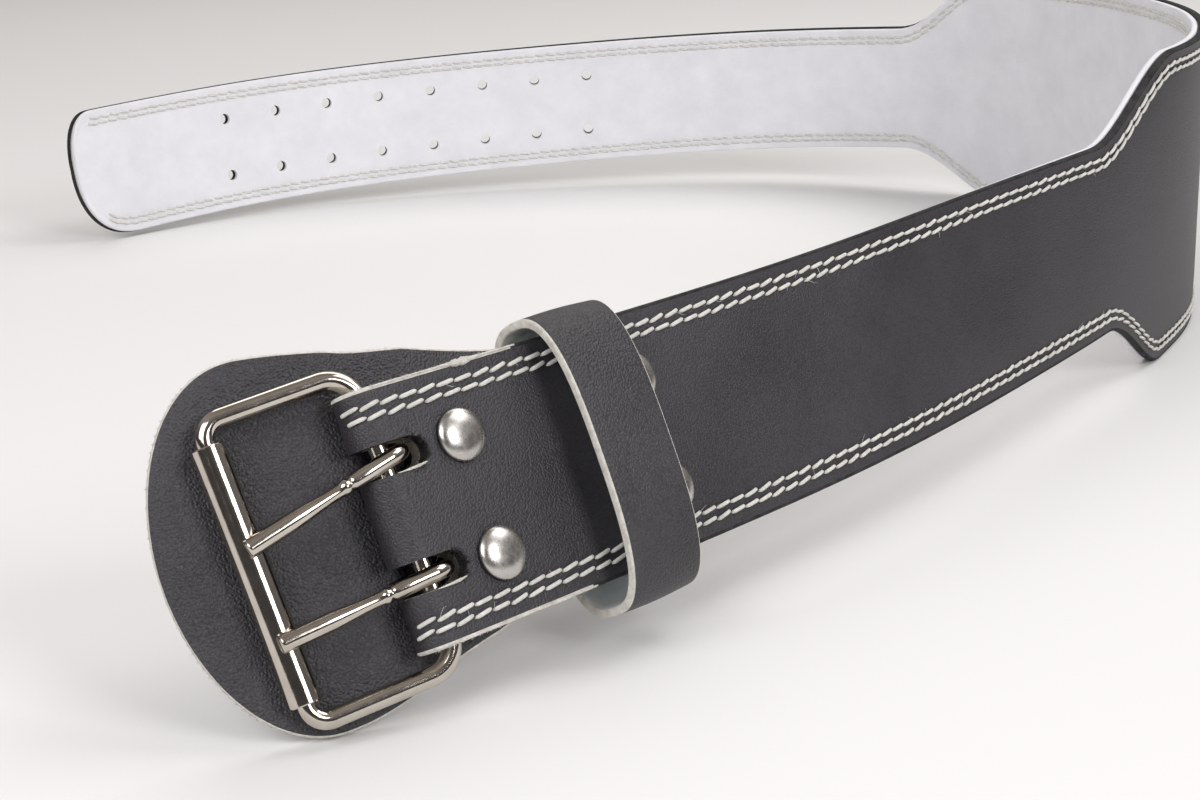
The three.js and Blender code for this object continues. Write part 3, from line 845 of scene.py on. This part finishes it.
def makeFlap():
    across = list(np.linspace(0, 1, flap["acrossCount"]))
    points, faces, parts = sheetMesh([tuple(row) for row in flapRows], flap["thickness"],
                                     lambda s, left: tuple(float(x) for x in flapEdges(s, left)),
                                     across, flap["edgeRound"])
    piece = makePiece("guard_flap_leather", points, faces, [pebbleLeather, rawEdge, darkEdge],
                      "belt", ["guard_flap"], parts)
    fixWinding(piece)
    cutHoles(piece, rivetCutters(), [rawEdge])


keeper = {
    "place": 49,
    "width": 23.5,
    "thickness": 2,
    "height": 70,
    "depth": 29.5,
    "narrowing": 2.5,
    "drop": 1.5,
    "back": 2.7,
    "roundness": 2.8,
    "edgeRound": 0.5,
    "crown": 0.35,  # the band swells this much at the middle of its width
    "crownDrop": 0.2,
    "sides": 144,
    "acrossCount": 9,
}


def keeperSection():
    # points round the band's section, across its width and through its wall, and their parts
    r, wide, wall, count = keeper["edgeRound"], keeper["width"], keeper["thickness"], keeper["acrossCount"]
    rising, falling = np.radians([30, 60, 90]), np.radians([0, 30, 60])
    section = [(t * (wide - 2 * r) + r, 0.0) for t in np.linspace(0, 1, count)]
    section += [(wide - r + r * math.sin(a), r - r * math.cos(a)) for a in rising]
    section += [(wide - r + r * math.cos(a), wall - r + r * math.sin(a)) for a in falling]
    section += [(t * (wide - 2 * r) + r, wall) for t in np.linspace(1, 0, count)]
    section += [(r - r * math.sin(a), wall - r + r * math.cos(a)) for a in rising]
    section += [(r - r * math.cos(a), r - r * math.sin(a)) for a in falling]
    parts = [0] * (count - 1) + [1] * 7 + [2] * (count - 1) + [1] * 7
    return section, parts


def makeKeeper():
    power = 2 / keeper["roundness"]
    section, parts = keeperSection()
    loops = []
    for k in range(keeper["sides"]):
        a = -(k / keeper["sides"]) * math.tau
        c, d = math.cos(a), math.sin(a)
        s, v, inward = [], [], []
        for x, inset in section:
            t = x / keeper["width"]
            crown = keeper["crown"] * math.sin(math.pi * t) - keeper["crownDrop"]
            tall = keeper["height"] / 2 - inset + crown
            deep = (keeper["depth"] - keeper["narrowing"] * t) / 2 - inset + crown
            middle = keeper["back"] + keeper["narrowing"] * t / 2
            s.append(keeper["place"] + x)
            v.append(math.copysign(abs(c) ** power, c) * tall - keeper["drop"])
            inward.append(math.copysign(abs(d) ** power, d) * deep + middle)
        loops.append(strapPoint(np.array(s), np.array(v), np.array(inward)))
    faces = loftFaces(keeper["sides"], len(section), True)
    piece = makePiece("keeper_band", np.concatenate(loops), faces, [pebbleLeather, rawEdge, greySuede],
                      "belt", ["keeper"], parts * keeper["sides"])
    fixWinding(piece)


makeFlap()
makeKeeper()
print("flap and keeper made")

# Loose fibres along the cut edges, and pulled threads by the stitching

fuzz = {
    "rootDepth": 0.15,
    "taper": (1, 1, 1, 0.8, 0.4),  # thickness at each point of a fibre
    "radius": 0.04,
    "edgeLength": (0.25, 0.65),
    "wander": 0.35,
    "strapCount": 420,
    "strapDepths": (0.3, 2.7),
    "strapSpread": (0.7, 0.5),  # how far the fibres lean along the belt and outwards
    "flapCount": 900,
    "flapDepths": (-1, 1),
    "flapSpread": (0.5, 0.5),
    "flapEndSweep": 0.6,
}
pulled = {
    "count": 46,
    "length": (1.2, 3.6),
    "radius": 0.05,
    "wander": 0.3,
    "start": 2,
    "besideKeeper": 2,
    "lift": 0.3,
    "rise": 0.6,
    "outward": 0.35,
}
fray = {
    "count": 420,
    "length": (0.6, 1.9),
    "radius": 0.075,
    "wander": 0.45,
    "angle": 0.75,
    "radiusSpread": 0.35,
    "depths": (-0.05, 2.2),
    "inward": (-0.6, 0.7),
    "outward": (0.2, 1),
    "upward": 0.4,
}
lips = {
    "start": 5.2,
    "length": 8,
    "points": 22,
    "thin": 0.1,
    "thick": 0.26,
    "unevenness": (0.8, 1.2),
    "peak": 1.6,  # over 1, the lip is thickest past its middle
    "rise": (0.1, 0.5),
    "lift": (0.12, 0.2),
    "sides": 8,
}
raggedEdge = {
    "step": 0.35,
    "radius": 0.22,
    "unevenness": (0.75, 1.25),
    "inset": 0.3,
    "depth": 0.12,
    "depthSpread": 0.05,
    "patchWidth": 3.2,
}
edgePatches = [{"side": 1, "place": 30, "size": 0.75}, {"side": -1, "place": 34, "size": 0.3}]


def fibre(start, heading, length, radius, wander):
    # a thin three-sided tube that wanders away from its start
    heading = np.asarray(heading, float) / np.linalg.norm(heading)
    line = [np.asarray(start, float) - heading * fuzz["rootDepth"]]
    bits = len(fuzz["taper"]) - 1
    for _ in range(bits):
        turn = np.array([dice.gauss(0, wander) for _ in range(3)])
        heading = (heading + turn) / np.linalg.norm(heading + turn)
        line.append(line[-1] + heading * length / bits)
    return sweepWire(line, [radius * share for share in fuzz["taper"]], 3, False)


def fibreMesh(name, fibres, material):
    points, faces = [], []
    for ring, ringFaces in fibres:
        base = len(points)
        points += list(ring)
        faces += [tuple(base + k for k in f) for f in ringFaces]
    makePiece(name, points, faces, [material], "belt", [], sharp=180)


def between(pair):
    return dice.uniform(*pair)


def leaning(along, outward, amounts):
    return along * dice.gauss(0, amounts[0]) + outward * dice.gauss(0, amounts[1])


def edgeFibres():
    found = []
    for _ in range(fuzz["strapCount"]):
        # along the strap's raw cut edge, top and bottom
        s, side = dice.uniform(1, strap["rawEdgeEnd"]), dice.choice((1, -1))
        low, high = strapEdges(s)
        _, along, up, outward = strapFrame(s)
        at = strapPoint(s, high if side > 0 else low, between(fuzz["strapDepths"]))
        found.append(fibre(at, up * side + leaning(along, outward, fuzz["strapSpread"]),
                           between(fuzz["edgeLength"]), fuzz["radius"], fuzz["wander"]))
    for _ in range(fuzz["flapCount"]):
        # round the flap's cut edge
        s, depth, left = flapRows[dice.randrange(len(flapRows) // 3, len(flapRows) - 1)]
        low, high = (float(x) for x in flapEdges(s, left))
        side = dice.choice((1, -1))
        _, along, up, outward = strapFrame(s)
        at = strapPoint(s, high if side > 0 else low, depth + between(fuzz["flapDepths"]))
        away = up * side - along * (fuzz["flapEndSweep"] if left < flap["endLength"] else 0)
        found.append(fibre(at, away + leaning(along, outward, fuzz["flapSpread"]),
                           between(fuzz["edgeLength"]), fuzz["radius"], fuzz["wander"]))
    return found


def pulledThreads():
    found = []
    beside = pulled["besideKeeper"]
    for _ in range(pulled["count"]):
        s = dice.uniform(pulled["start"], strap["frontArm"])
        if keeper["place"] - beside < s < keeper["place"] + keeper["width"] + beside:
            continue
        low, high = strapEdges(s)
        row = dice.choice(strap["stitchRows"])
        side = dice.choice((1, -1))
        _, along, up, outward = strapFrame(s)
        at = strapPoint(s, high - row if side > 0 else low + row, -pulled["lift"])
        heading = along * dice.gauss(0, 1) - up * side * pulled["rise"] + outward * pulled["outward"]
        found.append(fibre(at, heading, between(pulled["length"]), pulled["radius"], pulled["wander"]))
    return found


def slotFray():
    # dark torn fibres round the inner end of each slot
    found = []
    for side in (1, -1):
        v = slotMiddle(side)
        for _ in range(fray["count"]):
            a = dice.gauss(0, fray["angle"])
            radius = slots["width"] / 2 + dice.gauss(0, fray["radiusSpread"])
            s = slots["length"] - radius + radius * math.cos(a)
            _, along, up, outward = strapFrame(s)
            at = strapPoint(s, v + radius * math.sin(a), between(fray["depths"]))
            inward = -along * math.cos(a) - up * math.sin(a)
            heading = inward * between(fray["inward"]) + outward * between(fray["outward"])
            heading = heading + up * dice.gauss(0, fray["upward"])
            found.append(fibre(at, heading, between(fray["length"]), fray["radius"], fray["wander"]))
    return found


def tornLips():
    # the raw lower lip of each slot, and the ragged upper cut edge with its thicker patch
    found = []
    for side in (1, -1):
        v = slotMiddle(side) - slots["width"] / 2
        shares = np.linspace(0, 1, lips["points"])
        rise, lift = lips["rise"], lips["lift"]
        line = [strapPoint(lips["start"] + lips["length"] * u, v + rise[0] + rise[1] * u**3,
                           -lift[0] - lift[1] * u) for u in shares]
        radii = [lips["thin"] + lips["thick"] * math.sin(math.pi * u ** lips["peak"])
                 * between(lips["unevenness"]) for u in shares]
        found.append(sweepWire(line, radii, lips["sides"], False))
    for patch in edgePatches:
        line, radii = [], []
        for s in np.arange(foldRadius, strap["rawEdgeEnd"], raggedEdge["step"]):
            low, high = strapEdges(s)
            edge = high if patch["side"] > 0 else low
            swell = patch["size"] * math.exp(-((s - patch["place"]) / raggedEdge["patchWidth"]) ** 2)
            depth = raggedEdge["depth"] + dice.gauss(0, raggedEdge["depthSpread"])
            line.append(strapPoint(s, edge - patch["side"] * (raggedEdge["inset"] + swell / 3), depth))
            radii.append((raggedEdge["radius"] + swell) * between(raggedEdge["unevenness"]))
        found.append(sweepWire(line, radii, lips["sides"], False))
    return found


fibreMesh("cut_edge_fibres", edgeFibres(), rawEdge)
fibreMesh("torn_lips", tornLips(), rawEdge)
fibreMesh("pulled_threads", pulledThreads(), threadFibre)
fibreMesh("slot_fray", slotFray(), darkEdge)
print("fibres made")

# Rivets


def makeRivet(name, node, s, v):
    back = flapDepth + flap["thickness"] + rivets["backGap"]
    gap, sides = strap["gap"], rivets["sides"]
    brim = gap + rivets["brimHeight"]
    dome = rivets["capHeight"] - rivets["brimHeight"]
    profile = [(rivets["poleRadius"], -back - rivets["backHeight"])]
    profile += [(rivets["backRadius"] * math.sin(a), -back - rivets["backHeight"] * math.cos(a))
                for a in np.linspace(rivets["backPoleAngle"], math.pi / 2, 8)]
    profile += [(rivets["shankRadius"], -back), (rivets["shankRadius"], gap)]
    profile += [(rivets["capRadius"] - rivets["brimInset"], gap - rivets["brimSink"])]
    profile += [(rivets["capRadius"] * math.cos(a) ** rivets["domeRoundness"], brim + dome * math.sin(a))
                for a in np.linspace(0, math.pi / 2 - rivets["capPoleAngle"], 14)]
    profile += [(rivets["poleRadius"], gap + rivets["capHeight"])]
    _, along, up, outward = strapFrame(s)
    centre = strapPoint(s, v, 0)
    points = [centre + outward * h + (along * math.cos(a) + up * math.sin(a)) * r
              for r, h in profile for a in np.linspace(0, math.tau, sides, False)]
    faces = loftFaces(len(profile), sides)
    faces.append(tuple(range(sides - 1, -1, -1)))
    faces.append(tuple((len(profile) - 1) * sides + k for k in range(sides)))
    piece = makePiece(name, points, faces, [satinNickel], "belt", [node], sharp=50)
    fixWinding(piece)


for rowName, place in (("front", rivets["frontPlace"]), ("rear", rivets["rearPlace"])):
    for sideName, sign in (("upper", 1), ("lower", -1)):
        makeRivet(f"rivet_cap_{rowName}_{sideName}", f"rivet_{rowName}_{sideName}", place,
                  sign * rivets["spacing"] / 2 - rivets["drop"])
print("rivets made")

# Buckle, in its own axes: x along the belt from the roller to the bar, y up the bar, z outward

xAxis = (barPoint - rollerPoint) / np.linalg.norm(barPoint - rollerPoint)
yAxis = np.array(joints["frame_swing"]["axis"])
yAxis = yAxis - xAxis * yAxis.dot(xAxis)
yAxis /= np.linalg.norm(yAxis)
zAxis = np.cross(xAxis, yAxis)


def fromBuckle(points, at=(0, 0, 0)):
    p = np.asarray(points, float) + np.array(at)
    return barPoint + p[:, :1] * xAxis + p[:, 1:2] * yAxis + p[:, 2:3] * zAxis


def arcPoints(x, y, radius, start, end):
    return [(x + radius * math.cos(a), y + radius * math.sin(a), 0)
            for a in places(start, end, math.radians(5))]


def makeFrame():
    right, left = -buckle["barCorner"], -buckle["length"] + buckle["rollerCorner"]
    barTop = buckle["halfWidth"] - buckle["barCorner"]
    rollerTop = buckle["halfWidth"] - buckle["rollerCorner"]
    quarter = math.pi / 2
    line = arcPoints(right, barTop, buckle["barCorner"], 0, quarter)
    line += arcPoints(left, rollerTop, buckle["rollerCorner"], quarter, quarter * 2)
    line += arcPoints(left, -rollerTop, buckle["rollerCorner"], quarter * 2, quarter * 3)
    line += arcPoints(right, -barTop, buckle["barCorner"], quarter * 3, quarter * 4)
    points, faces = sweepWire(line, [buckle["wireRadius"]] * len(line), buckle["wireSides"], True)
    piece = makePiece("wire_frame", fromBuckle(points), faces, [nickel], "frame",
                      ["buckle_frame"], sharp=60)
    fixWinding(piece)


roller = {"radius": 3.75, "wall": 1.2, "seam": 0.5, "gap": 0.3, "edge": 0.3, "steps": 49}


def makeRoller():
    # a rolled tube, open along its seam, with small chamfers at both ends
    half = buckle["halfWidth"] - buckle["rollerCorner"] - roller["gap"]
    seam = math.asin(roller["seam"] / 2 / roller["radius"])
    angles = np.linspace(-math.pi / 2 + seam, math.pi * 1.5 - seam, roller["steps"])
    inner = roller["radius"] - roller["wall"]
    edge = roller["edge"]
    rows = []
    for y, cut in ((-half, edge), (-half + edge, 0), (half - edge, 0), (half, edge)):
        outer = roller["radius"] - cut
        rows += [(outer * math.cos(a), y, outer * math.sin(a)) for a in angles]
        rows += [(inner * math.cos(a), y, inner * math.sin(a)) for a in reversed(angles)]
    count = len(angles) * 2
    faces = loftFaces(4, count)
    for base, flip in ((0, False), (3 * count, True)):
        for k in range(len(angles) - 1):
            face = (base + k, base + k + 1, base + count - 2 - k, base + count - 1 - k)
            faces.append(tuple(reversed(face)) if flip else face)
    piece = makePiece("roller_tube", fromBuckle(rows, (-buckle["length"], 0, 0)), faces, [nickel],
                      "roller", ["buckle_roller"], sharp=35)
    fixWinding(piece)


prong = {
    "wireRadius": 1.9,
    "waistRadius": 1.45,
    "waistPlace": 14,
    "tipRadius": 2.05,
    "tipLength": 10.5,
    "overhang": 1.6,
    "clearance": 0.3,
    "touchGap": 0.3,
    "loopSag": 1.2,
    "loopBend": (0.75, 0.4),  # where the loop leaves the shank, as shares of bumpPlace
    "chamfer": 0.35,
    "bumpPlace": 9,
    "bump": (0.3, 1.9, 0.7),  # height, place past bumpPlace, width
    "notch": (-0.3, 0.6, 0.4),
    "sides": 24,
    "upperRoot": 0.485,
    "upperTip": 0.215,
    "lowerRoot": -0.508,
    "lowerTip": -0.569,
}


def prongRadius(x):
    # a pinched bump beside the loop's closed end, then a slim waist and a thicker end
    start, waist = prong["bumpPlace"] / 2, prong["waistPlace"]
    wideEnd = buckle["length"] + prong["overhang"] - prong["tipLength"]
    slim = mix(prong["wireRadius"], prong["waistRadius"], float(smoothstep((x - start) / (waist - start))))
    wave = [height * math.exp(-((x - prong["bumpPlace"] - place) / width) ** 2)
            for height, place, width in (prong["bump"], prong["notch"])]
    return mix(slim, prong["tipRadius"], float(smoothstep((x - waist) / (wideEnd - waist)))) + sum(wave)


def makeProng(name, node, root, tip):
    loop = buckle["wireRadius"] + prong["clearance"] + prong["wireRadius"]
    rest = roller["radius"] + roller["gap"] + prong["tipRadius"]
    end = buckle["length"] + prong["overhang"]
    touch = prong["wireRadius"] * 2 + prong["touchGap"]
    bump = prong["bumpPlace"]
    corners = [np.array(p, float) for p in (
        (-bump, 0, loop - touch), (-bump * prong["loopBend"][0], 0, loop - touch - prong["loopSag"]),
        (-bump * prong["loopBend"][1], 0, -loop), (0, 0, -loop))]
    line = []
    for t in np.linspace(0, 1, 16):
        weights = ((1 - t) ** 3, 3 * t * (1 - t) ** 2, 3 * t * t * (1 - t), t**3)
        line.append(sum(w * c for w, c in zip(weights, corners)))
    line += [np.array((math.cos(a) * loop, 0, math.sin(a) * loop))
             for a in np.linspace(-math.pi / 2, math.pi / 2, 25)[1:-1]]
    radii = [prong["wireRadius"]] * len(line)
    for t in np.linspace(0, 1, 90):
        line.append(np.array((-end * t, 0, mix(loop, rest, t))))
        radii.append(prongRadius(end * t))
    radii[-1] -= prong["chamfer"]
    radii[0] -= prong["chamfer"]
    points, faces = sweepWire(line, radii, prong["sides"], False)
    skew = math.atan((root - tip) * holes["spacing"] / buckle["length"])
    c, s = math.cos(skew), math.sin(skew)
    x, y, z = points.T
    turned = np.stack([x * c - y * s, x * s + y * c, z], 1)
    piece = makePiece(name, fromBuckle(turned, (0, root * holes["spacing"], 0)), faces, [nickel],
                      node, [node], sharp=50)
    fixWinding(piece)


makeFrame()
makeRoller()
makeProng("prong_wire_upper", "prong_upper", prong["upperRoot"], prong["upperTip"])
makeProng("prong_wire_lower", "prong_lower", prong["lowerRoot"], prong["lowerTip"])
print("buckle made")

# Studio: the camera stands by the buckle, and soft light comes from above and from the right

studio = {
    "cameraFromFold": (-234.7, -313.1, 189.3),
    "aim": (0.6858, 0.7278),
    "pitch": 17.22,
    "roll": 2.14,
    "lens": 60,
    "sensor": 36,
    "floorSize": 8,
    "floorColour": (0.775, 0.77, 0.77),
    "floorPaler": 1.01,
    "floorRoughness": 0.9,
    "floorSpecular": 0.1,
    "brightSide": (0.35, 0.25, 0.9),
    "airStops": [(0.0, (0.09, 0.085, 0.085)), (0.35, (0.22, 0.205, 0.20)), (0.7, (0.46, 0.43, 0.41)),
                 (1.0, (0.34, 0.29, 0.24))],
    "airStrength": 0.8,
}
lamps = [  # place: right of the camera's aim, ahead along it and up. target: x, y, z. All in metres
    {"name": "key", "place": (1.0, 0, 1.35), "target": (0, 0, 0.05), "size": (0.9, 0.9), "power": 8},
    {"name": "top", "place": (0.2, 1.3, 1.9), "target": (0, 0, 0), "size": (2.6, 1.2), "power": 20},
    {"name": "front", "place": (-0.75, -1.25, 1.0), "target": (-0.15, -0.1, 0.05), "size": (1.3, 0.9),
     "power": 16},
    {"name": "side", "place": (0.95, -1.15, 0.8), "target": (-0.1, -0.1, 0.05), "size": (0.55, 0.55),
     "power": 9},
]
foldPlan = shiftToFrame[:2]
cameraX, cameraY, cameraZ = studio["cameraFromFold"]
eye = Vector(((foldPlan[0] + cameraX) * mm, (foldPlan[1] + cameraY) * mm, cameraZ * mm))
pitch = math.radians(studio["pitch"])
forward = Vector((studio["aim"][0] * math.cos(pitch), studio["aim"][1] * math.cos(pitch), -math.sin(pitch)))
rightward = Vector((studio["aim"][1], -studio["aim"][0], 0))
camera = bpy.data.objects.new("camera", bpy.data.cameras.new("camera"))
bpy.context.scene.collection.objects.link(camera)
camera.data.lens = studio["lens"]
camera.data.sensor_width = studio["sensor"]
camera.data.clip_start = 0.01
upward = rightward.cross(forward)
turn = Matrix((rightward, upward, -forward)).transposed().to_4x4()
camera.matrix_world = Matrix.Translation(eye) @ turn @ Matrix.Rotation(math.radians(-studio["roll"]), 4, "Z")
bpy.context.scene.camera = camera


def areaLight(lamp):
    right, ahead, up = lamp["place"]
    place = Vector((0, 0, up)) + rightward * right + Vector((*studio["aim"], 0)) * ahead
    data = bpy.data.lights.new(lamp["name"], "AREA")
    data.shape = "RECTANGLE"
    data.size, data.size_y = lamp["size"]
    data.energy = lamp["power"]
    light = bpy.data.objects.new(lamp["name"], data)
    bpy.context.scene.collection.objects.link(light)
    light.location = place
    light.rotation_euler = (Vector(lamp["target"]) - place).to_track_quat("-Z", "Y").to_euler()


for lamp in lamps:
    areaLight(lamp)

floorMesh = bpy.data.meshes.new("floor")
half = studio["floorSize"] / 2
corners = [(-half, -half, 0), (half, -half, 0), (half, half, 0), (-half, half, 0)]
floorMesh.from_pydata(corners, [], [(0, 1, 2, 3)])
floorMaterial, floorNodes, floorLinks, floorShader = newMaterial("white sweep")
paper = noiseNode(floorNodes, floorLinks, 3, 2)
paler = tuple(c * studio["floorPaler"] for c in studio["floorColour"])
warm = rampNode(floorNodes, floorLinks, paper.outputs["Fac"], [(0.3, studio["floorColour"]), (0.7, paler)])
floorLinks.new(warm.outputs["Color"], floorShader.inputs["Base Color"])
floorShader.inputs["Roughness"].default_value = studio["floorRoughness"]
floorShader.inputs["Specular IOR Level"].default_value = studio["floorSpecular"]
floorMesh.materials.append(floorMaterial)
floor = bpy.data.objects.new("floor", floorMesh)
bpy.context.scene.collection.objects.link(floor)

world = bpy.data.worlds.new("studio air")
world.use_nodes = True
airNodes, airLinks = world.node_tree.nodes, world.node_tree.links
airCoords = airNodes.new("ShaderNodeTexCoord")
facing = airNodes.new("ShaderNodeVectorMath")
facing.operation = "DOT_PRODUCT"
facing.inputs[1].default_value = studio["brightSide"]
airLinks.new(airCoords.outputs["Generated"], facing.inputs[0])
shade = rampNode(airNodes, airLinks, facing.outputs["Value"], studio["airStops"])
airLinks.new(shade.outputs["Color"], airNodes["Background"].inputs["Color"])
airNodes["Background"].inputs["Strength"].default_value = studio["airStrength"]
bpy.context.scene.world = world
bpy.context.scene.view_settings.view_transform = "Standard"
print("studio made")
